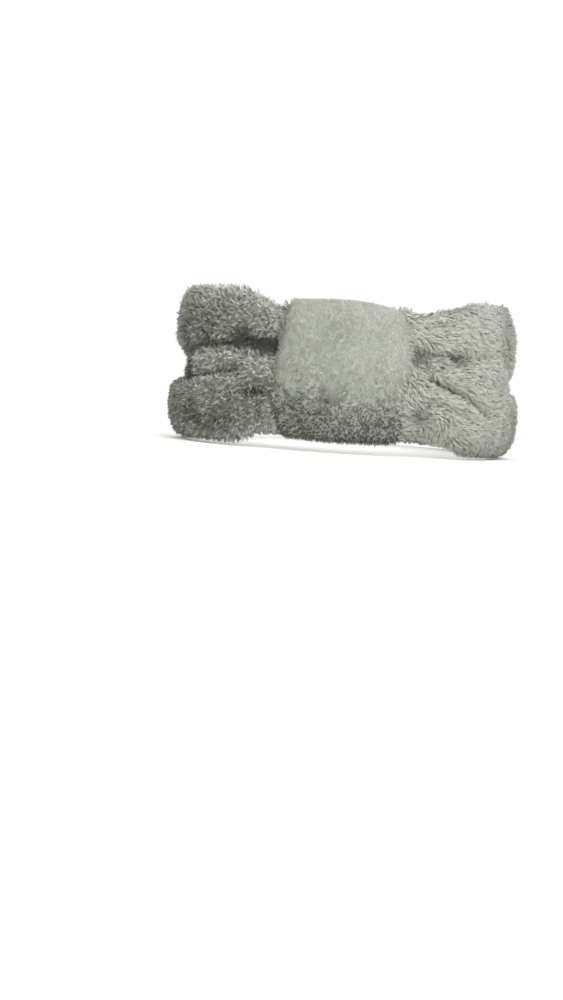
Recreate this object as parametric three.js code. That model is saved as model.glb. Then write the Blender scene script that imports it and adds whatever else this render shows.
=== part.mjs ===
// A plush spa headband in its worn shape, standing on its lower edge.
// Millimetres, +Z up. The bow is at -Y, the elasticated back at +Y, and +X is to the right as seen from the front.
//
// Every cloth piece is a plain bar, box or extruded section that is bent round the head line. A point of it has three
// numbers: angle, which runs round the head from the middle of the bow, depth, which is the distance outwards from
// the head line, and z, the height.
import * as THREE from 'three';

const DEGREE = Math.PI / 180;

// The head line: a rounded oval that the inside of the headband lies on.
const headHalfWidth = 70;
const headHalfLength = 92;
const headSquareness = 2.3;

// Clearance between pieces that touch.
const gap = 0.3;

// The front band: two plush panels, face and lining, sewn together along both long edges.
const bandHeight = 74;
const bandEndAngle = 116;
const liningThickness = 4;
const faceThickness = 4.5;
const edgeRoundness = 3;
const upperLobePuff = 6;
const lowerLobePuff = 8.5;
const shoulderHalfHeight = 29.5;
const shoulderRun = 5;
const lobeStartAngle = 42;
const lobeEndAngle = 78;

// The centre wrap: a plush loop that pinches the middle of the front band.
const wrapWidth = 61;
const wrapHeight = 65;
const wrapThickness = 4;
const wrapBarrel = 2.8;
const wrapTaper = 0.13;

// The back: a gathered plush sleeve over a flat woven elastic.
const sleeveHeight = 46;
const sleeveThickness = 3;
const gatherCount = 14;
const gatherDepth = 1.2;
const elasticWidth = 25;
const elasticThickness = 1.4;
const elasticTuck = 12;

// Sewing thread, label and the room that they take.
const threadRadius = 0.6;
const tackRadius = 0.4;
const joinGap = 2 * (threadRadius + gap);
const labelWidth = 14;
const labelHeight = 22;
const labelThickness = 0.6;

// Creases in the face of the bow: side is -1 on the left and +1 on the right, and each runs from one
// [angle in degrees, height share from -1 at the lower edge to 1 at the upper edge] to the other.
const creases = [
  { side: -1, from: [21, 0.36], to: [64, 0.13], depth: 5.5, width: 0.12 },
  { side: -1, from: [25, 0.03], to: [62, -0.23], depth: 5, width: 0.11 },
  { side: -1, from: [60, -0.05], to: [102, -0.06], depth: 4.5, width: 0.22 },
  { side: 1, from: [21, 0.46], to: [52, 0.32], depth: 5, width: 0.12 },
  { side: 1, from: [22, 0.02], to: [47, -0.42], depth: 5, width: 0.11 },
  { side: 1, from: [62, -0.08], to: [102, -0.1], depth: 5, width: 0.18 },
];

// Sizes that follow from the ones above.
const bandMiddle = bandHeight / 2;
const wrapHalfHeight = wrapHeight / 2;
const pinchedHalfHeight = wrapHalfHeight - wrapThickness - wrapBarrel - gap;
const pinchedDepth = liningThickness + gap + faceThickness;
const wrapHalfAngle = angleAcross(wrapWidth / 2, pinchedDepth + gap + wrapThickness);
const frontSteps = 60;
const openingAngle = wrapHalfAngle + (2 * bandEndAngle) / frontSteps;
const tuckDepth = liningThickness - 1;
const elasticDepth = tuckDepth + gap;
const faceTuckDepth = elasticDepth + elasticThickness + 2 * (tackRadius + gap);
const sleeveOuterDepth = faceTuckDepth + sleeveThickness;
const endHalfHeight = (sleeveHeight + 1) / 2;
const seamShare = 0.92;
const channelHalfShare = 0.05;
const channelDepth = threadRadius + gap / 2 + 0.2;

/** The head line's point at an angle in radians. */
function headPoint(angle) {
  const across = Math.abs(Math.sin(angle) / headHalfWidth) ** headSquareness;
  const along = Math.abs(Math.cos(angle) / headHalfLength) ** headSquareness;
  const radius = (across + along) ** (-1 / headSquareness);
  return new THREE.Vector2(radius * Math.sin(angle), -radius * Math.cos(angle));
}

/** A point of the headband from its angle in radians, its depth outwards and its height. */
function wornPoint(angle, depth, z) {
  const step = 1e-3;
  const along = headPoint(angle + step).sub(headPoint(angle - step)).normalize();
  const at = headPoint(angle);
  return new THREE.Vector3(at.x + along.y * depth, at.y - along.x * depth, z);
}

/** The angle, in degrees, at which the surface at a depth is halfWidth out from the middle. */
function angleAcross(halfWidth, depth) {
  let degrees = 0;
  while (wornPoint(degrees * DEGREE, depth, 0).x < halfWidth) degrees += 0.05;
  return degrees;
}

/** How many degrees a length of cloth takes at an angle on the head line. */
function degreesAlong(length, degrees) {
  const step = headPoint((degrees + 1) * DEGREE).distanceTo(headPoint(degrees * DEGREE));
  return length / step;
}

const smooth = (value, from, to) => THREE.MathUtils.smoothstep(value, Math.min(from, to), Math.max(from, to));
const mix = THREE.MathUtils.lerp;

/** How far the bow has opened out from under the wrap: 0 at the wrap, 1 at the lobes. */
function opened(degrees) {
  const share = THREE.MathUtils.clamp((degrees - openingAngle) / (lobeStartAngle - openingAngle), 0, 1);
  return 1 - (1 - share) ** 2.2;
}

/** How far the band has narrowed towards its sewn end: 0 at the lobes, 1 at the end. */
const narrowed = (degrees) => smooth(degrees, lobeEndAngle, bandEndAngle);

/** The band's middle height and half height at an angle. */
function bandSpan(degrees) {
  const away = Math.abs(degrees);
  const shoulder = mix(shoulderHalfHeight, bandMiddle, smooth(away, openingAngle, lobeStartAngle));
  const open = mix(pinchedHalfHeight, shoulder, smooth(away, openingAngle, openingAngle + shoulderRun));
  const half = mix(open, endHalfHeight, narrowed(away));
  return { half, middle: mix(bandMiddle, endHalfHeight, narrowed(away)) };
}

/** How deep the creases press into the face at an angle and a height share. */
function creaseDepth(degrees, share) {
  let depth = 0;
  for (const crease of creases) {
    const away = degrees * crease.side;
    const along = (away - crease.from[0]) / (crease.to[0] - crease.from[0]);
    const fade = smooth(along, -0.1, 0.1) * (1 - smooth(along, 0.75, 1.1));
    const centre = mix(crease.from[1], crease.to[1], along);
    depth += fade * crease.depth * Math.exp(-(((share - centre) / crease.width) ** 2));
  }
  return depth;
}

/** The face panel's outer depth: flat edges, two puffed lobes, and the creases between them. */
function faceOuter(degrees, share) {
  const away = Math.abs(degrees);
  const puff = mix(lowerLobePuff, upperLobePuff, smooth(share, -0.4, 0.4));
  const lobe = puff * opened(away) * (1 - narrowed(away));
  const crown = 1 - Math.abs(share) ** edgeRoundness;
  const rest = mix(pinchedDepth, sleeveOuterDepth, narrowed(away));
  const edge = rest - 1.2 * (1 - opened(away)) * share ** 8;
  return Math.max(edge + lobe * crown - creaseDepth(degrees, share) * opened(away), rest - 1.5);
}

/** A shallow channel along both sewn edges, where the seam thread lies. */
function channel(share) {
  const off = Math.abs(Math.abs(share) - seamShare) / channelHalfShare;
  return channelDepth * (1 - smooth(off, 0.55, 1));
}

/** Where the two panels part near their ends, so that the elastic goes in between them. */
const parted = (degrees) => smooth(Math.abs(degrees), bandEndAngle - 16, bandEndAngle - 9);

const liningOuter = (degrees, share) => mix(liningThickness, tuckDepth, parted(degrees)) - channel(share);
const faceInner = (degrees, share) => mix(liningThickness + gap, faceTuckDepth, parted(degrees)) + channel(share);

/**
 * Moves every vertex of a geometry by place(x, y, z), which returns the new point. Depth, height and angle make a
 * left-handed set, so each triangle is turned over to keep its face outwards.
 */
function bend(geometry, place) {
  const bent = geometry.index ? geometry.toNonIndexed() : geometry;
  const points = bent.attributes.position;
  const moved = [];
  for (let i = 0; i < points.count; i += 1) {
    moved.push(place(points.getX(i), points.getY(i), points.getZ(i)));
  }
  for (let i = 0; i < points.count; i += 3) {
    points.setXYZ(i, ...moved[i]);
    points.setXYZ(i + 1, ...moved[i + 2]);
    points.setXYZ(i + 2, ...moved[i + 1]);
  }
  bent.computeVertexNormals();
  return bent;
}

/** A section, given by its outline and holes, extruded from 0 to 1 in a number of steps. */
function bar(outline, steps, holes = []) {
  const shape = new THREE.Shape(outline);
  shape.holes = holes.map((points) => new THREE.Path(points));
  return new THREE.ExtrudeGeometry(shape, { depth: 1, steps, bevelEnabled: false });
}

/** A rounded rectangle's points, anticlockwise, from its centre, half sizes, corner radius and points a side. */
function roundedRectangle(centre, halfX, halfY, radius, sidePoints, cornerPoints = 3) {
  const corners = [[1, -1], [1, 1], [-1, 1], [-1, -1]];
  const points = [];
  corners.forEach(([sx, sy], corner) => {
    const from = (corner - 1) * 90;
    for (let i = 0; i <= cornerPoints; i += 1) {
      const turn = (from + (90 * i) / cornerPoints) * DEGREE;
      const x = centre.x + sx * (halfX - radius) + radius * Math.cos(turn);
      const y = centre.y + sy * (halfY - radius) + radius * Math.sin(turn);
      points.push(new THREE.Vector2(x, y));
    }
    if (corner % 2 === 0) {
      for (let i = 1; i < sidePoints; i += 1) {
        const y = mix(-1, 1, i / sidePoints) * sx * (halfY - radius);
        points.push(new THREE.Vector2(centre.x + sx * halfX, centre.y + y));
      }
    }
  });
  return points;
}

/**
 * The outline of a panel's section: x runs 0 to 1 from its inner to its outer side, y is the height share. The side
 * that has the seam channels gets points at them, and the plain side gets points that are closer near the edges.
 */
function panelOutline(plainPoints, edgeShare, channelSide) {
  const nearEdge = [0.86, 0.895, 0.945, edgeShare];
  const channelled = [...nearEdge.map((share) => -share).reverse(), ...nearEdge];
  const plain = [];
  for (let i = 0; i <= plainPoints; i += 1) {
    plain.push(edgeShare * Math.sin(mix(-72, 72, i / plainPoints) * DEGREE) / Math.sin(72 * DEGREE));
  }
  const outer = channelSide === 1 ? channelled : plain;
  const inner = channelSide === 1 ? plain : channelled;
  const points = outer.map((share) => new THREE.Vector2(1, share));
  return points.concat(inner.map((share) => new THREE.Vector2(0, share)).reverse());
}

/** A round thread along a list of worn points. */
function thread(points, radius, steps) {
  const sides = 6;
  const circle = new THREE.Shape();
  for (let i = 0; i < sides; i += 1) {
    const turn = (2 * Math.PI * i) / sides;
    if (i === 0) circle.moveTo(radius, 0);
    else circle.lineTo(radius * Math.cos(turn), radius * Math.sin(turn));
  }
  const path = new THREE.CatmullRomCurve3(points, false, 'catmullrom', 0.3);
  return new THREE.ExtrudeGeometry(circle, { steps, extrudePath: path, bevelEnabled: false });
}

const plush = { roughness: 0.95, metalness: 0 };
const materials = {
  facePlush: new THREE.MeshStandardMaterial({ color: 0xa6a9a0, ...plush }),
  liningPlush: new THREE.MeshStandardMaterial({ color: 0xadb0a6, ...plush }),
  wrapPlush: new THREE.MeshStandardMaterial({ color: 0xb2b5aa, ...plush }),
  sleevePlush: new THREE.MeshStandardMaterial({ color: 0xa1a49b, ...plush }),
  elastic: new THREE.MeshStandardMaterial({ color: 0xe8e8e4, roughness: 0.8, metalness: 0 }),
  thread: new THREE.MeshStandardMaterial({ color: 0xb9bbb2, roughness: 0.6, metalness: 0 }),
  label: new THREE.MeshStandardMaterial({ color: 0xf2f2ee, roughness: 0.45, metalness: 0 }),
};

const headband = new THREE.Group();

/** Adds a named piece to the headband. */
function add(name, geometry, material) {
  const mesh = new THREE.Mesh(geometry, material);
  mesh.name = name;
  headband.add(mesh);
}

const bandDegrees = (share) => mix(-bandEndAngle, bandEndAngle, share);

/** One panel of the front band between an inner and an outer depth. */
function frontPanel(outline, innerDepth, outerDepth) {
  return bend(bar(outline, frontSteps), (side, share, along) => {
    const degrees = bandDegrees(along);
    const { half, middle } = bandSpan(degrees);
    const depth = mix(innerDepth(degrees, share), outerDepth(degrees, share), side);
    return wornPoint(degrees * DEGREE, depth, middle + half * share);
  });
}

/** The thread of one sewn edge of the front band: share is the height share that it runs at. */
function edgeSeam(share) {
  const points = [];
  for (let i = 0; i <= frontSteps; i += 1) {
    const degrees = bandDegrees(i / frontSteps) * 0.985;
    const { half, middle } = bandSpan(degrees);
    const depth = (liningOuter(degrees, share) + faceInner(degrees, share)) / 2;
    points.push(wornPoint(degrees * DEGREE, depth, middle + half * share));
  }
  return thread(points, threadRadius, frontSteps);
}

/** The centre wrap: a loop of plush round the pinched middle of the band, shorter and narrower at its ends. */
function centreWrap() {
  const inside = -gap - wrapThickness;
  const outside = pinchedDepth + gap + wrapThickness;
  const outline = roundedRectangle(
    new THREE.Vector2((inside + outside) / 2, bandMiddle), (outside - inside) / 2, wrapHalfHeight, 6, 6);
  const hole = roundedRectangle(
    new THREE.Vector2(pinchedDepth / 2, bandMiddle), pinchedDepth / 2 + gap, pinchedHalfHeight + gap, 0.6, 3, 1);
  const holeReach = pinchedHalfHeight + 2 * gap;
  return bend(bar(outline, 12, [hole]), (depth, z, along) => {
    const edge = (along * 2 - 1) ** 2;
    const up = z - bandMiddle;
    const outer = Math.abs(up) > holeReach || depth > pinchedDepth + 2 * gap;
    const height = Math.abs(up) > holeReach ? up - Math.sign(up) * wrapBarrel * edge : up;
    const inset = outer && depth > pinchedDepth + 2 * gap ? edge * 0.8 : 0;
    const reach = wrapHalfAngle * (1 - wrapTaper * (up / wrapHalfHeight) ** 2);
    return wornPoint(mix(-reach, reach, along) * DEGREE, depth - inset, bandMiddle + height);
  });
}

/** The ladder of stitches that closes the wrap behind the band. */
function wrapClosingStitch() {
  const legs = 18;
  const halfWidth = 2;
  const reach = wrapHalfHeight - 9;
  const points = [];
  for (let i = 0; i <= legs; i += 1) {
    const degrees = (i % 2 ? 1 : -1) * degreesAlong(halfWidth, 0);
    const depth = -wrapThickness - 2 * gap - threadRadius;
    points.push(wornPoint(degrees * DEGREE, depth, bandMiddle + mix(-reach, reach, i / legs)));
  }
  return thread(points, threadRadius, legs * 2);
}

const joinDegrees = degreesAlong(joinGap, bandEndAngle);
const sleeveStart = bandEndAngle + joinDegrees;
const sleeveDegrees = (share) => mix(sleeveStart, 360 - sleeveStart, share);
const sleeveMiddle = sleeveHeight / 2;
const sleeveCavityHalf = elasticWidth / 2 + 4 * threadRadius + gap;

/** The gathered sleeve at the back, with a flat way through it for the elastic. */
function rearSleeve() {
  const centre = new THREE.Vector2(sleeveOuterDepth / 2, sleeveMiddle);
  const outline = roundedRectangle(centre, sleeveOuterDepth / 2, sleeveMiddle, 2.6, 4, 2);
  const cavityCentre = new THREE.Vector2((tuckDepth + faceTuckDepth) / 2, sleeveMiddle);
  const cavity = roundedRectangle(cavityCentre, (faceTuckDepth - tuckDepth) / 2, sleeveCavityHalf, 0.6, 2, 1);
  return bend(bar(outline, gatherCount * 4, [cavity]), (depth, z, along) => {
    const wave = (Math.cos(along * gatherCount * 2 * Math.PI) - 1) / 2;
    const outer = depth > faceTuckDepth + gap ? 1 : 0;
    const inner = depth < tuckDepth - gap ? 0.6 : 0;
    const crest = z > sleeveHeight - 3 ? 1 : 0;
    const moved = depth + gatherDepth * wave * (outer - inner);
    return wornPoint(sleeveDegrees(along) * DEGREE, moved, z + gatherDepth * wave * crest);
  });
}

/** The flat elastic, from a tuck inside one end of the front band to a tuck inside the other. */
function rearElastic() {
  const tuck = degreesAlong(elasticTuck, bandEndAngle);
  const from = bandEndAngle - tuck;
  const box = new THREE.BoxGeometry(elasticThickness, elasticWidth, 1, 1, 2, 48);
  return bend(box, (depth, z, along) => {
    const degrees = mix(from, 360 - from, along + 0.5);
    return wornPoint(degrees * DEGREE, elasticDepth + elasticThickness / 2 + depth, sleeveMiddle + z);
  });
}

/** The long seam that closes the sleeve, inside its lower edge. */
function sleeveSeam() {
  const points = [];
  const steps = 48;
  for (let i = 0; i <= steps; i += 1) {
    const z = sleeveMiddle - sleeveCavityHalf + threadRadius + gap;
    const depth = (tuckDepth + faceTuckDepth) / 2;
    points.push(wornPoint(sleeveDegrees(mix(0.004, 0.996, i / steps)) * DEGREE, depth, z));
  }
  return thread(points, threadRadius, steps);
}

/** The zigzag that tacks one end of the elastic inside the front band. */
function elasticTack(side) {
  const legs = 10;
  const nearEnd = bandEndAngle - degreesAlong(2, bandEndAngle);
  const farEnd = bandEndAngle - degreesAlong(elasticTuck - 2, bandEndAngle);
  const reach = elasticWidth / 2 - 2;
  const depth = elasticDepth + elasticThickness + gap + tackRadius;
  const points = [];
  for (let i = 0; i <= legs; i += 1) {
    const degrees = side * (i % 2 ? nearEnd : farEnd);
    points.push(wornPoint(degrees * DEGREE, depth, sleeveMiddle + mix(-reach, reach, i / legs)));
  }
  return thread(points, tackRadius, legs * 2);
}

/** The seam thread that joins the front band to the sleeve, once round the sleeve's section. */
function joinSeam(side) {
  const degrees = side * (bandEndAngle + joinDegrees / 2);
  const halfDepth = sleeveOuterDepth / 2 - 1.4;
  const halfHeight = sleeveMiddle - 2;
  const centre = new THREE.Vector2(sleeveOuterDepth / 2, sleeveMiddle);
  const loop = roundedRectangle(centre, halfDepth, halfHeight, 2, 6, 3);
  const points = loop.map(({ x, y }) => wornPoint(degrees * DEGREE, x, y));
  return thread(points, threadRadius, points.length);
}

/** The blank label, sewn in beside the left join and lying on the lining. */
function careLabel() {
  const from = bandEndAngle - degreesAlong(labelWidth, bandEndAngle);
  const box = new THREE.BoxGeometry(labelThickness, labelHeight, 1, 1, 1, 6);
  return bend(box, (depth, z, along) => {
    const degrees = mix(-bandEndAngle + 0.3, -from, along + 0.5);
    return wornPoint(degrees * DEGREE, depth - labelThickness / 2 - gap, sleeveMiddle + z);
  });
}

add('front_face_panel', frontPanel(panelOutline(20, 1, 0), faceInner, faceOuter), materials.facePlush);
add('front_lining_panel', frontPanel(panelOutline(4, 0.975, 1), () => 0, liningOuter), materials.liningPlush);
add('top_edge_seam', edgeSeam(seamShare), materials.thread);
add('bottom_edge_seam', edgeSeam(-seamShare), materials.thread);
add('centre_wrap', centreWrap(), materials.wrapPlush);
add('wrap_closing_stitch', wrapClosingStitch(), materials.thread);
add('rear_sleeve', rearSleeve(), materials.sleevePlush);
add('rear_elastic', rearElastic(), materials.elastic);
add('sleeve_seam', sleeveSeam(), materials.thread);
for (const [side, word] of [[-1, 'left'], [1, 'right']]) {
  add(`join_seam_${word}`, joinSeam(side), materials.thread);
  add(`elastic_tack_${word}`, elasticTack(side), materials.thread);
}
add('care_label', careLabel(), materials.label);

// The origin is under the middle of the headband's box, on the surface that it stands on.
const box = new THREE.Box3().setFromObject(headband, true);
const middle = box.getCenter(new THREE.Vector3());
headband.position.set(-middle.x, -middle.y, -box.min.z);
headband.updateMatrixWorld(true);

export default headband;
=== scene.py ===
"""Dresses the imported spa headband: plush cloth with its pile, threads, elastic and a label, in a studio.

Cloth is worked out in millimetres round the head line, and becomes metres when its mesh is made. A place on
the headband has three numbers: the angle in degrees round the head from the middle of the bow, the depth
outwards from the head line, and the height above the surface that it stands on.
"""

import logging
import math
from dataclasses import dataclass, field, fields
from enum import Enum
from typing import Callable

import bmesh
import bpy
import numpy as np
from mathutils import Matrix, Vector

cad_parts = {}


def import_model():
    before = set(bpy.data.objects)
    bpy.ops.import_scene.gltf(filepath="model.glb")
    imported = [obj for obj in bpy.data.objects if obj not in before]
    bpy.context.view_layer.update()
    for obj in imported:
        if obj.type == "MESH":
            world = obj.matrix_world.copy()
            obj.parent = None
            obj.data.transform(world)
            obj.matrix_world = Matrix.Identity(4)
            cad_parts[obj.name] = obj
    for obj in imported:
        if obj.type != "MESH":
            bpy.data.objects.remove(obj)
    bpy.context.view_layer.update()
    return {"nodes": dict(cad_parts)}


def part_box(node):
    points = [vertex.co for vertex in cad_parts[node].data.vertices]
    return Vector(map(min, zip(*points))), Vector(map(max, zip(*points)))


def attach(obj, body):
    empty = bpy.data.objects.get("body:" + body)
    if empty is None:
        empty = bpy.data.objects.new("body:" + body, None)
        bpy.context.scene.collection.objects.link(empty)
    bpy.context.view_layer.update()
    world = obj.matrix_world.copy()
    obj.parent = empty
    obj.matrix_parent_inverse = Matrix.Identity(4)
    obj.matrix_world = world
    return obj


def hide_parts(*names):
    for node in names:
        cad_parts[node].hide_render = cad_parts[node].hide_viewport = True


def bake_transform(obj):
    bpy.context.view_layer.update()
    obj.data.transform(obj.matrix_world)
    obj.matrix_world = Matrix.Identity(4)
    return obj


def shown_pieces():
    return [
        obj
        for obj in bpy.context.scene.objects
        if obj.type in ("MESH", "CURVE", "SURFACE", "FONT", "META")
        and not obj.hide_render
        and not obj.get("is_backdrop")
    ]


LOG = logging.getLogger("headband")
MM = 0.001
Field = np.ndarray

# Steps of these two irrational shares fill a square evenly, without rows that the eye could follow.
EVEN_STEPS = (0.754877666, 0.569840291)


# --------------------------------------------------------------------------------- numbers and nodes


def smooth(value: Field, low: float, high: float) -> Field:
    """A smooth step from 0 at low to 1 at high."""
    share = np.clip((value - low) / (high - low), 0.0, 1.0)
    return share * share * (3 - 2 * share)


def mix(low: Field, high: Field, share: Field) -> Field:
    """The value that lies a share of the way from low to high."""
    return low + (high - low) * share


def unit(vectors: Field) -> Field:
    """Vectors scaled to length 1."""
    return vectors / np.maximum(np.linalg.norm(vectors, axis=-1, keepdims=True), 1e-12)


class Section:
    """A rounded oblong section, whose places are evenly spaced along its line."""

    samples = 2881

    def __init__(
        self, half_depth: float, half_height: float, squareness: float, start: float, end: float
    ) -> None:
        """Measures the section's line.

        Args:
            half_depth: half its depth, in millimetres.
            half_height: half its height, in millimetres.
            squareness: 2 for an ellipse, and more for a squarer section.
            start: where it starts, in degrees from straight out, positive upwards.
            end: where it ends.
        """
        turn = np.radians(np.linspace(start, end, self.samples))
        bulk = np.abs(np.cos(turn)) ** squareness + np.abs(np.sin(turn)) ** squareness
        reach = bulk ** (-1 / squareness)
        self.out, self.up = reach * np.cos(turn), reach * np.sin(turn)
        steps = np.hypot(np.diff(self.out) * half_depth, np.diff(self.up) * half_height)
        self.share = np.concatenate([[0.0], np.cumsum(steps)]) / steps.sum()
        self.closed = abs(end - start) > 359

    def at(self, across: Field) -> tuple[Field, Field]:
        """The shares of the half depth and of the half height at shares of the way along the line."""
        across = across % 1.0 if self.closed else across
        return np.interp(across, self.share, self.out), np.interp(across, self.share, self.up)


class Ripples:
    """A smooth random field made of plane waves, about -1 to 1, the same on every run."""

    def __init__(self, seed: int, size_mm: float, waves: int = 14) -> None:
        """Draws the waves.

        Args:
            seed: what the draw starts from.
            size_mm: the width of one lump of the field.
            waves: how many waves are added up.
        """
        rng = np.random.default_rng(seed)
        self.heading = unit(rng.normal(size=(waves, 3))) * (math.pi / size_mm)
        self.heading *= rng.uniform(0.6, 1.4, size=(waves, 1))
        self.phase = rng.uniform(0, 2 * math.pi, size=waves)

    def at(self, points: Field) -> Field:
        """Adds up the waves.

        Args:
            points: where, in millimetres.

        Returns:
            The field at each point.
        """
        total = np.zeros(len(points))
        for heading, phase in zip(self.heading, self.phase):
            total += np.cos(points @ heading + phase)
        return total * math.sqrt(2 / len(self.phase)) * 0.7


def srgb(hex_value: int) -> tuple[float, float, float, float]:
    """Turns a colour to linear.

    Args:
        hex_value: the colour in sRGB.

    Returns:
        The linear colour, with full alpha.
    """
    channels = [(hex_value >> shift & 255) / 255 for shift in (16, 8, 0)]
    linear = [c / 12.92 if c <= 0.04045 else ((c + 0.055) / 1.055) ** 2.4 for c in channels]
    return (*linear, 1.0)


def band_scale(apart_mm: float) -> float:
    """The Scale of a Wave texture whose bands lie that far apart, on Object coordinates in metres."""
    return 1000 / apart_mm / 20 * math.pi


class Graph:
    """A material and its node tree, with one way to add a node."""

    def __init__(self, name: str) -> None:
        """Starts a material with a Principled surface.

        Args:
            name: the material's name.
        """
        self.material = bpy.data.materials.new(name)
        self.material.use_nodes = True
        self.tree = self.material.node_tree
        self.surface = self.tree.nodes["Principled BSDF"]

    def add(self, kind: str, settings: dict | None = None, **inputs: object) -> bpy.types.Node:
        """Adds a node.

        Args:
            kind: the node's type.
            settings: properties of the node itself.
            **inputs: values or sockets for its inputs, by name with underscores, or by number as i0, i1.

        Returns:
            The new node.
        """
        node = self.tree.nodes.new(kind)
        for key, value in (settings or {}).items():
            setattr(node, key, value)
        self.feed(node, **inputs)
        return node

    def feed(self, node: bpy.types.Node, **inputs: object) -> None:
        """Sets or links a node's inputs.

        Args:
            node: the node.
            **inputs: values or sockets, named as in add.
        """
        for key, value in inputs.items():
            number = key[1:] if key[0] == "i" else ""
            socket = node.inputs[int(number) if number.isdigit() else key.replace("_", " ")]
            if isinstance(value, bpy.types.NodeSocket):
                self.tree.links.new(value, socket)
            else:
                socket.default_value = value


# ------------------------------------------------------------------------------------------ finishes


@dataclass(frozen=True)
class PlushPile:
    """Coral fleece pile: clumped polyester microfibre, dull and soft, with pale tips; its dark roots are
    painted shade deep in the pile.
    """

    name: str
    # The root colour is painted shade deep in the pile.
    root: int = 0x5C5E57
    middle: int = 0xB4B7AB
    tip: int = 0xD6D9CC
    roughness: float = 0.82
    sheen: float = 0.1
    mottle_mm: float = 9.0

    def material(self) -> bpy.types.Material:
        """Builds the finish, which reads each strand's rise from root to tip and its tone, painted shade
        and highlight included.

        Returns:
            The material.
        """
        graph = Graph(self.name)
        rise = graph.add("ShaderNodeAttribute", {"attribute_name": "pile_rise"})
        tone = graph.add("ShaderNodeAttribute", {"attribute_name": "pile_tone"})
        ramp = graph.add("ShaderNodeValToRGB", i0=rise.outputs["Fac"])
        stops = ramp.color_ramp.elements
        stops[0].color, stops[1].color = srgb(self.root), srgb(self.tip)
        stops.new(0.5).color = srgb(self.middle)
        place = graph.add("ShaderNodeTexCoord")
        cloud = graph.add("ShaderNodeTexNoise", Vector=place.outputs["Object"])
        graph.feed(cloud, Scale=1000 / self.mottle_mm, Detail=3.0)
        mottle = graph.add("ShaderNodeMapRange", Value=cloud.outputs["Fac"])
        graph.feed(mottle, From_Min=0.3, From_Max=0.7, To_Min=0.92, To_Max=1.06)
        shade = graph.add("ShaderNodeMath", {"operation": "MULTIPLY"})
        graph.feed(shade, i0=tone.outputs["Fac"], i1=mottle.outputs[0])
        colour = graph.add("ShaderNodeVectorMath", {"operation": "SCALE"})
        graph.feed(colour, i0=ramp.outputs["Color"], Scale=shade.outputs[0])
        graph.feed(graph.surface, Base_Color=colour.outputs[0], Roughness=self.roughness)
        graph.feed(graph.surface, Sheen_Weight=self.sheen, Sheen_Roughness=0.45)
        graph.feed(graph.surface, Specular_IOR_Level=0.25)
        return graph.material


@dataclass(frozen=True)
class KnitGround:
    """The warp-knitted ground that the pile stands on: matt polyester loops, seen only between clumps."""

    name: str
    colour: int = 0xB0B3A7
    shadow: int = 0x8C8F85
    loop_mm: float = 0.9

    def material(self) -> bpy.types.Material:
        """Builds the finish, with its loops and lint as relief, in the tone that the cloth gives it,
        painted shade and highlight included.

        Returns:
            The material.
        """
        graph = Graph(self.name)
        place = graph.add("ShaderNodeTexCoord")
        loops = graph.add("ShaderNodeTexVoronoi", Vector=place.outputs["Object"], Scale=1000 / self.loop_mm)
        lint = graph.add("ShaderNodeTexNoise", Vector=place.outputs["Object"], Scale=700.0, Detail=4.0)
        both = graph.add("ShaderNodeMath", {"operation": "MULTIPLY"})
        graph.feed(both, i0=loops.outputs["Distance"], i1=lint.outputs["Fac"])
        ramp = graph.add("ShaderNodeValToRGB", i0=both.outputs[0])
        ramp.color_ramp.elements[0].color = srgb(self.shadow)
        ramp.color_ramp.elements[1].color = srgb(self.colour)
        bump = graph.add("ShaderNodeBump", Height=both.outputs[0], Strength=0.3, Distance=0.0003)
        # pile_tone carries the painted shade and painted highlight of the pile's nap, as well as its random
        # tone.
        tone = graph.add("ShaderNodeAttribute", {"attribute_name": "pile_tone"})
        shaded = graph.add("ShaderNodeVectorMath", {"operation": "SCALE"})
        graph.feed(shaded, i0=ramp.outputs["Color"], Scale=tone.outputs["Fac"])
        graph.feed(graph.surface, Base_Color=shaded.outputs[0], Roughness=0.95)
        graph.feed(graph.surface, Normal=bump.outputs[0], Specular_IOR_Level=0.15)
        return graph.material


@dataclass(frozen=True)
class SpunThread:
    """Spun polyester sewing thread: matt, slightly hairy, its twist drawn coarser than life, to show."""

    name: str
    colour: int = 0x9B9E93
    shadow: int = 0x70736A
    twist_mm: float = 0.6

    def material(self) -> bpy.types.Material:
        """Builds the finish, with a twist that runs round the thread.

        Returns:
            The material.
        """
        graph = Graph(self.name)
        place = graph.add("ShaderNodeTexCoord")
        twist = graph.add("ShaderNodeTexWave", {"bands_direction": "DIAGONAL"})
        graph.feed(twist, Vector=place.outputs["Object"], Scale=band_scale(self.twist_mm))
        graph.feed(twist, Distortion=1.0, Detail=2.0)
        ramp = graph.add("ShaderNodeValToRGB", i0=twist.outputs["Fac"])
        ramp.color_ramp.elements[0].color = srgb(self.shadow)
        ramp.color_ramp.elements[1].color = srgb(self.colour)
        bump = graph.add("ShaderNodeBump", Height=twist.outputs["Fac"], Strength=0.5, Distance=0.0002)
        graph.feed(graph.surface, Base_Color=ramp.outputs["Color"], Roughness=0.7)
        graph.feed(graph.surface, Normal=bump.outputs[0], Sheen_Weight=0.2)
        return graph.material


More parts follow.
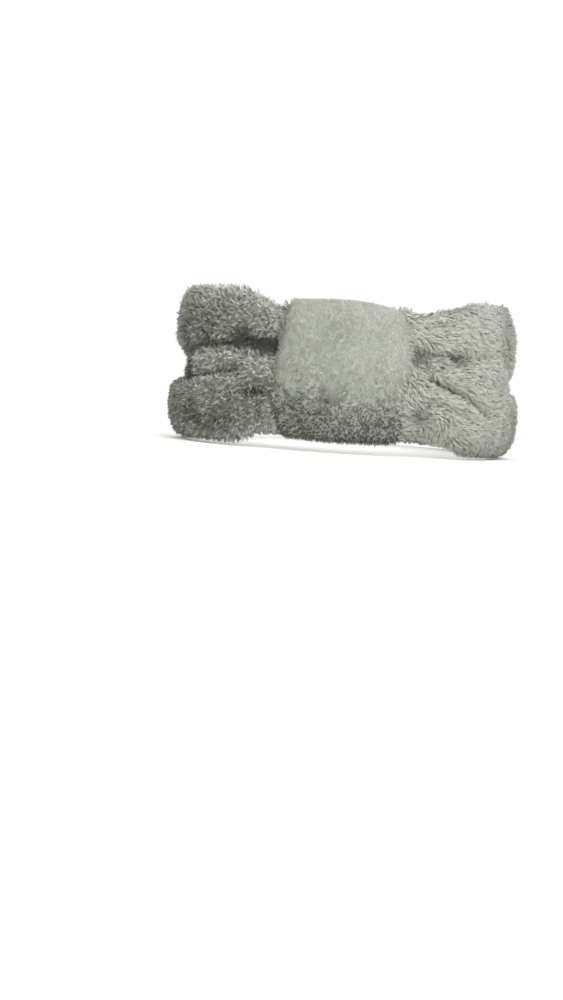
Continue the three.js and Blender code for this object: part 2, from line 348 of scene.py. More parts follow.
@dataclass(frozen=True)
class WovenRibs:
    """Flat woven elastic: white polyester over rubber, ribbed along its length, faintly woven across."""

    name: str
    colour: int = 0xEDEDE8
    shadow: int = 0xC4C5BF
    rib_mm: float = 1.1

    def material(self) -> bpy.types.Material:
        """Builds the finish, with ribs one above another and a fine weave across them.

        Returns:
            The material.
        """
        graph = Graph(self.name)
        place = graph.add("ShaderNodeTexCoord")
        ribs = graph.add("ShaderNodeTexWave", {"bands_direction": "Z"}, Vector=place.outputs["Object"])
        graph.feed(ribs, Scale=band_scale(self.rib_mm), Distortion=0.4)
        weave = graph.add("ShaderNodeTexNoise", Vector=place.outputs["Object"], Scale=1400.0, Detail=3.0)
        both = graph.add("ShaderNodeMath", {"operation": "MULTIPLY"})
        graph.feed(both, i0=ribs.outputs["Fac"], i1=weave.outputs["Fac"])
        ramp = graph.add("ShaderNodeValToRGB", i0=both.outputs[0])
        ramp.color_ramp.elements[0].color = srgb(self.shadow)
        ramp.color_ramp.elements[1].color = srgb(self.colour)
        bump = graph.add("ShaderNodeBump", Height=both.outputs[0], Strength=0.7, Distance=0.0003)
        graph.feed(graph.surface, Base_Color=ramp.outputs["Color"], Roughness=0.75, Normal=bump.outputs[0])
        return graph.material


@dataclass(frozen=True)
class WovenSatin:
    """A white woven satin label: smooth floats that shine softly along one way. They are drawn coarser."""

    name: str
    colour: int = 0xF1F1EC
    shadow: int = 0xD9D9D2
    weave_mm: float = 0.45

    def material(self) -> bpy.types.Material:
        """Builds the finish, with its weave drawn a little coarser than life.

        Returns:
            The material.
        """
        graph = Graph(self.name)
        place = graph.add("ShaderNodeTexCoord")
        floats = graph.add("ShaderNodeTexWave", {"bands_direction": "Z"}, Vector=place.outputs["Object"])
        graph.feed(floats, Scale=band_scale(self.weave_mm), Distortion=0.8, Detail=2.0)
        ramp = graph.add("ShaderNodeValToRGB", i0=floats.outputs["Fac"])
        ramp.color_ramp.elements[0].color = srgb(self.shadow)
        ramp.color_ramp.elements[1].color = srgb(self.colour)
        bump = graph.add("ShaderNodeBump", Height=floats.outputs["Fac"], Strength=0.25, Distance=0.0001)
        graph.feed(graph.surface, Base_Color=ramp.outputs["Color"], Roughness=0.38, Normal=bump.outputs[0])
        graph.feed(graph.surface, Sheen_Weight=0.15)
        return graph.material


@dataclass(frozen=True)
class StudioPaper:
    """White background paper: dead matt, with only the faintest cloudiness in its gloss."""

    name: str
    colour: int = 0xFEFEFD

    def material(self) -> bpy.types.Material:
        """Builds the finish.

        Returns:
            The material.
        """
        graph = Graph(self.name)
        place = graph.add("ShaderNodeTexCoord")
        cloud = graph.add("ShaderNodeTexNoise", Vector=place.outputs["Object"], Scale=3.0)
        rough = graph.add("ShaderNodeMapRange", Value=cloud.outputs["Fac"], To_Min=0.9, To_Max=1.0)
        graph.feed(graph.surface, Base_Color=srgb(self.colour), Roughness=rough.outputs[0])
        graph.feed(graph.surface, Specular_IOR_Level=0.1)
        return graph.material


# --------------------------------------------------------------------------------------- cloth shape


@dataclass(frozen=True)
class HeadLine:
    """The rounded oval that the inside of the headband lies on.

    Attributes:
        centre: its middle, in millimetres.
        half_width: half its size from side to side.
        half_length: half its size from front to back.
        squareness: 2 for an ellipse, and more for a squarer oval.
    """

    centre: tuple[float, float]
    half_width: float = 70.0
    half_length: float = 92.0
    squareness: float = 2.3

    def flat(self, degrees: Field) -> Field:
        """Finds points of the line, seen from above.

        Args:
            degrees: their angles round the head from the middle of the bow.

        Returns:
            Each point's two numbers, in millimetres from the line's middle.
        """
        angle = np.radians(degrees)
        across = np.abs(np.sin(angle) / self.half_width) ** self.squareness
        along = np.abs(np.cos(angle) / self.half_length) ** self.squareness
        radius = (across + along) ** (-1 / self.squareness)
        return np.stack([radius * np.sin(angle), -radius * np.cos(angle)], axis=-1)

    def worn(self, degrees: Field, depth: Field, height: Field) -> Field:
        """Finds points on the headband.

        Args:
            degrees: the angle round the head from the middle of the bow.
            depth: the distance outwards from the line.
            height: the height above the standing surface.

        Returns:
            The points, in millimetres.
        """
        along = unit(self.flat(degrees + 0.05) - self.flat(degrees - 0.05))
        at = self.flat(degrees)
        x = at[..., 0] + along[..., 1] * depth + self.centre[0]
        y = at[..., 1] - along[..., 0] * depth + self.centre[1]
        return np.stack([x, y, height + 0 * x], axis=-1)

    def angle_across(self, half_width: float, depth: float) -> float:
        """Finds how far round a surface reaches.

        Args:
            half_width: how far out from the middle it reaches, in millimetres.
            depth: its depth.

        Returns:
            The angle at which it is that far out, in degrees.
        """
        angles = np.arange(0, 60, 0.05)
        reach = self.worn(angles, depth, 0.0)[:, 0] - self.centre[0]
        return float(angles[np.argmax(reach >= half_width)])


@dataclass(frozen=True)
class Crease:
    """A fold line in the face of the bow.

    Attributes:
        side: -1 on the left, 1 on the right.
        start: its near end, as an angle and a height share from -1 at the lower edge to 1 at the upper.
        end: its far end.
        depth: how deep it presses in, in millimetres.
        width: how wide one flank is, in millimetres.
        bow: how far its middle lies above the straight line, as a height share.
        fade: how much of its depth is left at the far end.
    """

    side: int
    start: tuple[float, float]
    end: tuple[float, float]
    depth: float
    width: float
    bow: float = 0.0
    fade: float = 0.8

    def dip(self, degrees: Field, share: Field, half: Field) -> Field:
        """Works out how deep the crease is.

        Args:
            degrees: the angles of a number of places.
            share: their height shares.
            half: the band's half height there, in millimetres.

        Returns:
            The depth at each place, in millimetres.
        """
        along = (degrees * self.side - self.start[0]) / (self.end[0] - self.start[0])
        inside = smooth(along, -0.08, 0.08) * (1 - smooth(along, 0.82, 1.12))
        held = np.clip(along, 0, 1)
        centre = mix(self.start[1], self.end[1], held) + 4 * self.bow * held * (1 - held)
        off = np.abs(share - centre) * half / self.width
        return self.depth * mix(1.0, self.fade, held) * inside * np.exp(-(off**1.35))


@dataclass
class Places:
    """A number of places on a piece of cloth, one to a row.

    Attributes:
        along: their shares of the way along the cloth.
        across: their shares of the way across it.
        points: where they lie, in millimetres.
        normals: the way that the cloth faces there.
        right: the way along the cloth there.
        up: the way across it there.
    """

    along: Field
    across: Field
    points: Field
    normals: Field
    right: Field
    up: Field


@dataclass
class Cloth:
    """One piece of cloth: a grid of cells, and where each place of it goes.

    Attributes:
        name: the piece's name.
        cells: how many cells it has along and across.
        closed: true if it closes on itself across, as a sleeve does.
        place: gives the points, in millimetres, of arrays of shares along and across.
        inside: gives a point on the reverse side of the cloth for each place.
        thickness: the ground cloth's own thickness, in millimetres.
        facing: 1 if along turned to across faces outwards, and -1 if it doesn't.
    """

    name: str
    cells: tuple[int, int]
    closed: bool
    place: Callable[[Field, Field], Field]
    inside: Callable[[Field, Field], Field]
    thickness: float = 1.0
    facing: float = field(init=False)

    def __post_init__(self) -> None:
        """Finds which way the cloth faces."""
        self.facing = 1.0
        along, across = np.meshgrid(np.linspace(0.1, 0.9, 9), np.linspace(0.1, 0.9, 9))
        places = self.at(along.ravel(), across.ravel())
        outwards = places.points - self.inside(places.along, places.across)
        self.facing = 1.0 if float((places.normals * outwards).sum()) > 0 else -1.0

    def at(self, along: Field, across: Field) -> Places:
        """Finds places on the cloth, and which way it runs and faces there.

        Args:
            along: their shares of the way along the cloth.
            across: their shares of the way across it.

        Returns:
            The places.
        """
        step = 2e-4
        ahead, behind = np.clip(along + step, 0, 1), np.clip(along - step, 0, 1)
        right = self.place(ahead, across) - self.place(behind, across)
        above, below = across + step, across - step
        if not self.closed:
            above, below = np.clip(above, 0, 1), np.clip(below, 0, 1)
        up = self.place(along, above) - self.place(along, below)
        normals = unit(np.cross(right, up)) * self.facing
        right = unit(right)
        up = unit(np.cross(normals, right) * self.facing)
        return Places(along, across, self.place(along, across), normals, right, up)

    def mesh(self, ground: bpy.types.Material, tone: Callable[[Places], Field]) -> bpy.types.Object:
        """Makes the ground cloth as an object: a grid laid in place, with the cloth's thickness.

        Args:
            ground: its material.
            tone: gives how bright it is at places.

        Returns:
            The object.
        """
        bm = bmesh.new()
        shade = bm.verts.layers.float.new("pile_tone")
        bmesh.ops.create_grid(bm, x_segments=self.cells[0], y_segments=self.cells[1], size=0.5)
        flat = np.array([v.co[:2] for v in bm.verts]) + 0.5
        places = self.at(flat[:, 0], flat[:, 1])
        for vertex, point, bright in zip(bm.verts, places.points * MM, tone(places)):
            vertex.co = point
            vertex[shade] = bright
        if self.closed:
            bmesh.ops.remove_doubles(bm, verts=bm.verts, dist=1e-6)
        if self.facing < 0:
            bmesh.ops.reverse_faces(bm, faces=bm.faces)
        for face in bm.faces:
            face.smooth = True
        mesh = bpy.data.meshes.new(self.name)
        bm.to_mesh(mesh)
        bm.free()
        mesh.materials.append(ground)
        piece = bpy.data.objects.new(self.name, mesh)
        bpy.context.collection.objects.link(piece)
        wall = piece.modifiers.new("Thickness", "SOLIDIFY")
        wall.thickness, wall.offset = self.thickness * MM, -1.0
        return piece


# ---------------------------------------------------------------------------------------------- pile


class Tuft(Enum):
    """How a strand of pile is shaped."""

    CURLED = "curled"
    SHORT = "short"


def tuft_shape(tuft: Tuft) -> tuple[Field, list[tuple[int, ...]]]:
    """A strand one unit tall and one unit across, standing on the origin.

    Args:
        tuft: a curled strand has a ring half way up, so that it can bend, and a short one hasn't.

    Returns:
        Its vertices and its faces.
    """
    belly_height, belly_swell = 0.55, 2.0
    bm = bmesh.new()
    bmesh.ops.create_cone(bm, cap_ends=True, segments=3, radius1=0.5, radius2=0.0, depth=1.0)
    bmesh.ops.translate(bm, verts=bm.verts, vec=(0, 0, 0.5))
    bmesh.ops.remove_doubles(bm, verts=bm.verts, dist=1e-5)
    if tuft is Tuft.CURLED:
        every = bm.verts[:] + bm.edges[:] + bm.faces[:]
        bmesh.ops.bisect_plane(bm, geom=every, plane_co=(0, 0, belly_height), plane_no=(0, 0, 1))
        belly = [v for v in bm.verts if abs(v.co.z - belly_height) < 1e-3]
        bmesh.ops.scale(bm, vec=(belly_swell, belly_swell, 1.0), verts=belly)
    bmesh.ops.recalc_face_normals(bm, faces=bm.faces)
    bm.verts.index_update()
    points = np.array([v.co[:] for v in bm.verts])
    faces = [tuple(v.index for v in face.verts) for face in bm.faces]
    bm.free()
    return points, faces


@dataclass
class Nap:
    """How the pile lies at a number of places. Each field has one value for each place.

    Attributes:
        length: the strands' length, in millimetres.
        lean: 0 upright, 1 lying flat.
        heading: the way they lean, in degrees from the cloth's own length towards its width.
        ruffle: 0 combed smooth, 1 tousled into curls that show the dark between them.
        tuft: how far a clump's strands close in at their tips, from 0 to 1.
        tone: how bright the strands are, 1 as dyed; on the face and the wrap it also carries painted shade
            and painted highlight.
    """

    length: Field
    lean: Field
    heading: Field
    ruffle: Field
    tuft: Field
    tone: Field


@dataclass
class Strands:
    """Strands of pile, one to a row, in millimetres.

    Attributes:
        root: where each starts.
        bend: what it bends towards.
        tip: where it ends.
        ground: the outward direction of the cloth under it.
        width: how thick it is.
        tone: how bright it is.
        gloom: how dark its root is painted, as shade deep in the pile, from 0 to 1.
    """

    root: Field
    bend: Field
    tip: Field
    ground: Field
    width: Field
    tone: Field
    gloom: Field

    def pick(self, rows: Field | slice) -> "Strands":
        """Some of the strands."""
        return Strands(*(getattr(self, part.name)[rows] for part in fields(self)))


@dataclass
class Pile:
    """The pile on one piece of cloth, grown as clumps of strands.

    Attributes:
        cloth: what it grows on.
        nap: gives how the pile lies at places.
        cover: how thickly it grows there, from 0 to 1.
        clumps_per_mm2: how many clumps stand on a square millimetre.
        strands: how many strands a clump has.
        width: a strand's width, in millimetres.
        spread: a clump's radius at its root, in millimetres.
        tuft: the strand's shape.
        seed: what its random draws start from.
        stray: how far the strands stray from their clump, in millimetres.
        softness: how far each strand is shaded as the cloth under it is, which stands for the light that
            passes through fine fibres.
        blotch: how much ruffled clumps differ in brightness.
        sunk: how far a strand's root is sunk in the ground cloth, in millimetres.
        clear: how far the strands stay above the standing surface, in millimetres.
        brightest: the brightest tone that a strand may have.
    """

    cloth: Cloth
    nap: Callable[[Places], Nap]
    cover: Callable[[Places], Field]
    clumps_per_mm2: float
    strands: int
    width: float
    spread: float
    tuft: Tuft
    seed: int
    stray: float = 0.26
    softness: float = 0.8
    blotch: float = 0.26
    sunk: float = 0.35
    clear: float = 0.35
    brightest: float = 1.25

    def clumps(self, rng: np.random.Generator) -> tuple[Field, Field]:
        """Draws the clumps' places, evenly over the cloth's own area.

        Args:
            rng: what the draw comes from.

        Returns:
            Their shares along and across the cloth.
        """

        def crowd(along: Field, across: Field) -> Field:
            """The cover times the cloth's area there, in square millimetres to a whole share each way.

            Args:
                along: shares along the cloth.
                across: shares across it.

            Returns:
                The value at each place.
            """
            step = 1e-3
            right = self.cloth.place(along + step, across) - self.cloth.place(along - step, across)
            up = self.cloth.place(along, across + step) - self.cloth.place(along, across - step)
            area = np.linalg.norm(np.cross(right, up), axis=-1) / (2 * step) ** 2
            return area * self.cover(self.cloth.at(along, across))

        tries = np.arange(20000)
        peak = float(crowd(tries * EVEN_STEPS[0] % 1, tries * EVEN_STEPS[1] % 1).max())
        tries = np.arange(int(peak * self.clumps_per_mm2))
        jitter = 0.35 / math.sqrt(len(tries))
        along = (tries * EVEN_STEPS[0] + rng.normal(0, jitter, len(tries))) % 1
        across = (tries * EVEN_STEPS[1] + rng.normal(0, jitter, len(tries))) % 1
        kept = rng.uniform(0, peak, len(tries)) < crowd(along, across)
        order = np.argsort(along[kept])
        return along[kept][order], across[kept][order]

    def strands_at(self) -> Strands:
        """Draws every strand.

        Returns:
            The strands, clump after clump along the cloth.
        """
        rng = np.random.default_rng(self.seed)
        places = self.cloth.at(*self.clumps(rng))
        nap = self.nap(places)
        normal, right, up = places.normals, places.right, places.up
        count = len(normal)
        heading = np.radians(nap.heading + rng.normal(0, 1, count) * (10 + 70 * nap.ruffle))
        sideways = right * np.cos(heading)[:, None] + up * np.sin(heading)[:, None]
        lean = np.clip(nap.lean + rng.normal(0, 0.08 + 0.12 * nap.ruffle, count), 0.02, 0.97) * math.pi / 2
        length = nap.length * np.exp(rng.normal(0, 0.08 + 0.1 * nap.ruffle, count))
        rise, reach = (length * np.cos(lean))[:, None], (length * np.sin(lean))[:, None]
        tone = nap.tone * np.exp(rng.normal(0, 0.03 + self.blotch * nap.ruffle, count))
        tip_of_clump = places.points + normal * rise + sideways * reach

        # A clump's strands set out round it and close in at their tips.
        rows = np.repeat(np.arange(count), self.strands)
        total = len(rows)
        turn, out = rng.uniform(0, 2 * math.pi, total), np.sqrt(rng.uniform(0, 1, total))
        ring = right[rows] * np.cos(turn)[:, None] + up[rows] * np.sin(turn)[:, None]
        offset = ring * (out * self.spread)[:, None]
        ruffle = nap.ruffle[rows, None]
        root = places.points[rows] + offset - normal[rows] * self.sunk
        tip = tip_of_clump[rows] + offset * (1 - nap.tuft[rows, None])
        tip += rng.normal(0, 1, (total, 3)) * self.stray * (0.5 + ruffle)
        tip = root + (tip - root) * rng.uniform(0.72, 1.06, total)[:, None]
        bend = root + normal[rows] * rise[rows] * 0.8 + sideways[rows] * reach[rows] * 0.2
        bend += rng.normal(0, 1, (total, 3)) * self.stray * (0.4 + 1.4 * ruffle)
        for points in (tip, bend):
            points[:, 2] = np.maximum(points[:, 2], self.clear + rng.uniform(0, 0.4, total))
        width = self.width * np.exp(rng.normal(0, 0.15, total))
        tone = tone[rows] * np.exp(rng.normal(0, 1, total) * mix(0.07, 0.2, nap.ruffle[rows]))
        # How dark each root is painted, as shade deep in the pile, more where the pile is ruffled.
        gloom = mix(0.15, 1.0, nap.ruffle)[rows]
        return Strands(root, bend, tip, normal[rows], width, np.minimum(tone, self.brightest), gloom)

    def grow(self, finish: bpy.types.Material, pieces: int) -> list[bpy.types.Object]:
        """Makes the pile as a number of objects, one after another along the cloth.

        Args:
            finish: the pile's material.
            pieces: how many objects to share the strands between.

        Returns:
            The objects.
        """
        strands = self.strands_at()
        made = []
        for number, rows in enumerate(np.array_split(np.arange(len(strands.root)), pieces), 1):
            name = f"{self.cloth.name}_pile" + (f"_{number}" if pieces > 1 else "")
            made.append(self.object(name, finish, strands.pick(rows)))
        return made

    def object(self, name: str, finish: bpy.types.Material, strands: Strands) -> bpy.types.Object:
        """Copies the tuft's shape along each strand and joins the copies as one object.

        Args:
            name: the object's name.
            finish: its material.
            strands: the strands it holds.

        Returns:
            The object.
        """
        shape, faces = tuft_shape(self.tuft)
        rng = np.random.default_rng(self.seed + 1)
        count, size = len(strands.root), len(shape)
        s = shape[None, :, 2, None]
        line = (1 - s) ** 2 * strands.root[:, None] + s**2 * strands.tip[:, None]
        line += 2 * s * (1 - s) * strands.bend[:, None]
        ahead = unit(strands.tip - strands.root)
        first = unit(np.cross(ahead, rng.normal(size=(count, 3))))
        second = np.cross(ahead, first)
        round_it = shape[None, :, 0, None] * first[:, None] + shape[None, :, 1, None] * second[:, None]
        points = (line + round_it * strands.width[:, None, None]) * MM

        # A strand is shaded partly as a cone and partly as the cloth, more so where its pile lies smooth.
        own = unit(unit(round_it) + 0.5 * s * ahead[:, None])
        soft = np.minimum(self.softness * (1.6 - 1.05 * strands.gloom), 0.94)[:, None, None]
        normals = unit(own * (1 - soft) + strands.ground[:, None] * soft)

        corners = np.concatenate([np.array(face) for face in faces])
        starts = np.cumsum([0] + [len(face) for face in faces])[:-1]
        copies = np.arange(count)[:, None]
        mesh = bpy.data.meshes.new(name)
        mesh.vertices.add(count * size)
        mesh.vertices.foreach_set("co", points.astype(np.float32).ravel())
        mesh.loops.add(count * len(corners))
        mesh.loops.foreach_set("vertex_index", (corners + copies * size).astype(np.int32).ravel())
        mesh.polygons.add(count * len(faces))
        mesh.polygons.foreach_set("loop_start", (starts + copies * len(corners)).astype(np.int32).ravel())
        mesh.update(calc_edges=True)
        mesh.polygons.foreach_set("use_smooth", np.ones(count * len(faces), bool))
        mesh.normals_split_custom_set_from_vertices(normals.reshape(-1, 3).astype(np.float32))

        # A combed strand stays pale down to its root, and a ruffled one is painted dark there, as shade
        # deep in the pile.
        rise = mesh.attributes.new("pile_rise", "FLOAT", "POINT")
        risen = 1 - (1 - shape[None, :, 2]) * strands.gloom[:, None]
        rise.data.foreach_set("value", risen.astype(np.float32).ravel())
        tones = mesh.attributes.new("pile_tone", "FLOAT", "POINT")
        tones.data.foreach_set("value", np.repeat(strands.tone, size).astype(np.float32))
        self.lay_out(mesh, shape, corners, count)
        mesh.materials.append(finish)
        piece = bpy.data.objects.new(name, mesh)
        bpy.context.collection.objects.link(piece)
        return piece

    @staticmethod
    def lay_out(mesh: bpy.types.Mesh, shape: Field, corners: Field, count: int) -> None:
        """Gives each strand a small square of its own in a UV map named OFBake.

        Args:
            mesh: the strands' mesh.
            shape: one strand's vertices.
            corners: the vertex at each corner of its faces.
            count: how many strands the mesh has.
        """
        side = math.ceil(math.sqrt(count))
        round_it = np.arctan2(shape[:, 1], shape[:, 0]) / 7 + 0.5
        across = np.where(shape[:, 2] > 0.99, 0.45, 0.1 + 0.7 * round_it)
        lift = 0.7 * shape[:, 2] + 0.1 * (shape[:, 2] < 0.01) * shape[:, 0]
        local = np.stack([across, 0.1 + lift], axis=-1)[corners]
        cell = np.stack([np.arange(count) % side, np.arange(count) // side], axis=-1)
        spread = (cell[:, None] + local[None]) / side
        layer = mesh.uv_layers.new(name="OFBake")
        layer.data.foreach_set("uv", spread.astype(np.float32).ravel())


def all_over(at: Places) -> Field:
    """Covers a cloth with pile all over, or leaves it as bright everywhere as it is dyed."""
    return np.ones(len(at.along))


# ------------------------------------------------------------------------------------ sub-assemblies


@dataclass
class FrontBand:
    """The bow's two panels, with their lobes, creases, sewn edges and pile.

    Attributes:
        head: the line it is worn round.
        height: the band's height at the lobes, in millimetres.
        end_height: its height at its sewn ends.
        wrap_angle: where it comes out from under the wrap, in degrees.
        end_angle: where it ends.
        pinched_height: its height under the wrap.
        shoulder_height: its height where it leaves the wrap.
        pinched_depth: how far out it reaches under the wrap.
        end_depth: how far out it reaches at its sewn ends.
        upper_puff: how much further the upper lobes reach, left and right.
        lower_puff: how much further the lower lobes reach, left and right.
        lobe_start: where the lobes are full, left and right.
        lobe_end: where they start to narrow towards the ends.
        pile_room: how much of each size is pile.
        roundness: how square its section is, 2 for an ellipse.
        seam_depth: how far out its edges are sewn.
        least_bulge: how far out of the seam the deepest crease stays.
        lumpiness: how high its lumps are.
        right_rounding: how much the right upper lobe is rounded off.
        creases: the fold lines in its face.
        partings: where the pile has parted, each with its angle, height share and half size each way.
        lumps: the field of its lumps.
    """

    head: HeadLine
    height: float
    end_height: float
    wrap_angle: float
    end_angle: float = 116.0
    pinched_height: float = 57.0
    shoulder_height: float = 59.0
    pinched_depth: float = 8.8
    end_depth: float = 9.1
    upper_puff: tuple[float, float] = (4.4, 4.4)
    lower_puff: tuple[float, float] = (6.6, 8.4)
    lobe_start: tuple[float, float] = (31.0, 44.0)
    lobe_end: float = 78.0
    pile_room: float = 3.0
    roundness: float = 3.0
    seam_depth: float = 3.6
    least_bulge: float = 0.9
    lumpiness: float = 0.9
    right_rounding: float = 2.5
    creases: tuple[Crease, ...] = (
        Crease(-1, (17, 0.35), (66, 0.14), 11.0, 3.0, fade=0.5),
        Crease(-1, (17, 0.34), (33, 0.27), 10.0, 4.8, fade=0.25),
        Crease(-1, (60, 0.15), (104, 0.15), 5.5, 3.0, fade=0.9),
        Crease(-1, (27, -0.06), (58, -0.25), 7.5, 2.5, bow=-0.015, fade=0.9),
        Crease(-1, (54, -0.235), (104, -0.21), 6.5, 2.8, fade=0.9),
        Crease(-1, (50, -0.03), (106, 0.0), 6.5, 5.5, fade=1.15),
        Crease(-1, (20, -0.4), (40, -0.34), 3.4, 2.6, fade=0.3),
        Crease(-1, (20, -0.7), (38, -0.78), 2.4, 2.6, fade=0.3),
        Crease(-1, (20, 0.68), (36, 0.78), 2.4, 2.6, fade=0.3),
        Crease(1, (17, 0.42), (47, 0.32), 5.2, 2.7, bow=-0.05, fade=0.35),
        Crease(1, (28, 0.28), (35, 0.25), 4.4, 2.8, fade=0.6),
        Crease(1, (21, -0.05), (43, -0.48), 7.5, 2.6, bow=-0.02, fade=0.4),
        Crease(1, (56, -0.07), (104, -0.09), 8.0, 4.6, fade=1.2),
        Crease(1, (20, -0.42), (40, -0.66), 3.4, 2.6, fade=0.3),
        Crease(1, (20, 0.16), (34, 0.1), 3.0, 2.4, fade=0.3),
        Crease(1, (20, 0.76), (36, 0.84), 2.4, 2.6, fade=0.3),
    )
    partings: tuple[tuple[float, float, float, float], ...] = (
        (-42.5, 0.5, 9.0, 0.3),
        (-28.0, 0.43, 5.0, 0.14),
        (-20.5, 0.33, 6.5, 0.12),
        (-21.0, -0.41, 6.0, 0.17),
        (-43.0, -0.72, 13.0, 0.14),
        (-62.0, -0.1, 8.0, 0.12),
        (-59.0, 0.4, 7.0, 0.26),
        (19.0, 0.3, 3.0, 0.12),
        (31.0, 0.24, 2.5, 0.08),
        (18.5, -0.66, 2.5, 0.16),
    )
    lumps: Ripples = field(default_factory=lambda: Ripples(11, 17.0))

    def __post_init__(self) -> None:
        """Measures the half section that both panels share."""
        self.half_section = Section(9.0, self.height / 2, self.roundness, -90, 90)

    def opened(self, away: Field, full: Field) -> Field:
        """How far the bow bulges outwards: 0.7 as it leaves the wrap, 1 where it is full."""
        share = np.clip((away - self.wrap_angle) / (full - self.wrap_angle), 0, 1)
        return 1 - 0.3 * (1 - share) ** 2.4

    def by_side(self, degrees: Field, sizes: tuple[float, float]) -> Field:
        """The left or the right size, as the angle says."""
        return mix(sizes[0], sizes[1], smooth(degrees, -10, 10))

    def narrowed(self, away: Field) -> Field:
        """How far the band has narrowed: 0 at the lobes, 1 at its sewn end."""
        return smooth(away, self.lobe_end, self.end_angle)

    def span(self, degrees: Field) -> tuple[Field, Field]:
        """Works out how high the ground cloth stands.

        Args:
            degrees: the angles of a number of places.

        Returns:
            Its middle height and its half height, in millimetres.
        """
        away = np.abs(degrees)
        narrow = self.narrowed(away)
        free = smooth(away, self.wrap_angle - 0.5, self.wrap_angle + 2.0)
        full = smooth(away, self.wrap_angle, self.by_side(degrees, self.lobe_start))
        lobe = mix(self.shoulder_height / 2, self.height / 2, full) - self.pile_room
        half = mix(mix(self.pinched_height / 2, lobe, free), self.end_height / 2 - 2, narrow)
        return mix(self.height / 2, self.end_height / 2, narrow), half

    def press(self, degrees: Field, share: Field, half: Field) -> Field:
        """How deep the creases are, in millimetres."""
        return sum(crease.dip(degrees, share, half) for crease in self.creases)

    def degrees(self, along: Field) -> Field:
        """The angle of a share along the band."""
        return mix(-self.end_angle, self.end_angle, along)

    def face_place(self, along: Field, across: Field) -> Field:
        """Lays the face panel's ground cloth.

        Args:
            along: shares of the way along it.
            across: shares of the way across it.

        Returns:
            The points, in millimetres.
        """
        degrees = self.degrees(along)
        away = np.abs(degrees)
        bulge, share = self.half_section.at(across)
        middle, half = self.span(degrees)
        opened = self.opened(away, self.by_side(degrees, self.lobe_start))
        narrow = self.narrowed(away)
        upper, lower = self.by_side(degrees, self.upper_puff), self.by_side(degrees, self.lower_puff)
        puff = mix(lower, upper, smooth(share, -0.4, 0.4)) * opened * (1 - narrow)
        outer = mix(self.pinched_depth, self.end_depth, narrow) + puff - self.pile_room
        flat = self.head.worn(degrees, outer, middle + half * share)
        outer = outer + self.lumpiness * self.lumps.at(flat) * opened * (1 - narrow)
        rounded = self.right_rounding * smooth(share, 0.45, 0.95) * smooth(degrees, 25, 60) * (1 - narrow)
        depth = self.seam_depth + (outer - rounded - self.seam_depth) * bulge

        # No crease presses the face through to the lining.
        floor = self.seam_depth + self.least_bulge * bulge
        dip = self.press(degrees, share, half)
        depth = floor + np.maximum(depth - floor - dip * bulge, 0.0)
        return self.head.worn(degrees, depth, middle + half * share)

    def lining_place(self, along: Field, across: Field) -> Field:
        """Lays the lining panel's ground cloth, which bulges a little towards the head.

        Args:
            along: shares of the way along it.
            across: shares of the way across it.

        Returns:
            The points, in millimetres.
        """
        degrees = self.degrees(along)
        bulge, share = self.half_section.at(across)
        middle, half = self.span(degrees)
        return self.head.worn(degrees, 3.0 - 1.5 * bulge, middle + half * share * 0.985)

    def core(self, depth: float) -> Callable[[Field, Field], Field]:
        """Makes what tells which way a panel faces.

        Args:
            depth: a depth on its reverse side.

        Returns:
            A function that gives points at that depth.
        """

        def inside(along: Field, across: Field) -> Field:
            """Finds points behind places on the panel.

            Args:
                along: shares of the way along it.
                across: shares of the way across it.

            Returns:
                The points, in millimetres.
            """
            degrees = self.degrees(along)
            _, share = self.half_section.at(across)
            middle, half = self.span(degrees)
            return self.head.worn(degrees, depth, middle + half * share * 0.7)

        return inside

    def face_nap(self, at: Places) -> Nap:
        """Lays the face's pile: tousled curls on the left, longer combed tufts on the right.

        Args:
            at: a number of places on it.

        Returns:
            How the pile lies there.
        """
        degrees = self.degrees(at.along)
        _, share = self.half_section.at(at.across)
        pressed = np.clip((self.press(degrees, share, self.span(degrees)[1]) - 1.5) / 8, 0, 1)
        parted = 0 * degrees
        for angle, level, wide, tall in self.partings:
            parted += np.exp(-(((degrees - angle) / wide) ** 2) - ((share - level) / tall) ** 2)
        swirl, patch = Ripples(21, 16.0).at(at.points), Ripples(22, 9.0).at(at.points)

        # Each mix goes from the left of the bow to its right, and from both to where it turns back.
        right, back = smooth(degrees, -8, 8), smooth(np.abs(degrees), 70, 100)
        ruffle = np.clip(mix(mix(0.85, 0.16, right), 0.5, back) + 0.12 * patch + 0.3 * parted, 0, 1)
        length = mix(mix(2.8, 3.6, right), 3.1, back) * (1 - 0.6 * pressed)
        lean = np.clip(mix(mix(0.38, 0.63, right), 0.5, back) - 0.15 * patch, 0.05, 0.9)
        heading = mix(mix(200.0, -32.0, right), mix(180.0, 0.0, right), back) + 45 * swirl
        tuft = mix(mix(0.72, 0.35, right), 0.4, back)

        # It is painted darker at the sides, low on the left, in the creases and where it has parted, as
        # painted shade. The edges on the left are painted lighter, as a painted highlight where they catch
        # the light.
        ends = smooth(np.abs(degrees), 85, 110)
        sides = smooth(np.abs(degrees), 40, 66) * (1 - ends)
        low = smooth(-share, 0.1, 0.5) * (1 - right) * (1 - back)
        fringe = smooth(np.abs(share), 0.84, 0.97) * (1 - right) * (1 - back)
        tone = mix(mix(0.8, 0.725, right), 0.84, ends)
        tone = tone * (1 - mix(0.44, 0.26, right) * sides) * (1 - 0.2 * low)
        tone = tone * (1 + mix(0.15, 0.05, right) * patch) * (1 - 0.5 * np.minimum(parted, 1))
        # Painted shade in the creases.
        tone = tone * (1 - mix(0.6, 0.46, right) * pressed**1.2)
        tone = tone * (1 + mix(0.45, 0.2, smooth(share, -0.5, 0.5)) * fringe)
        return Nap(length, lean, heading, ruffle, tuft, tone)

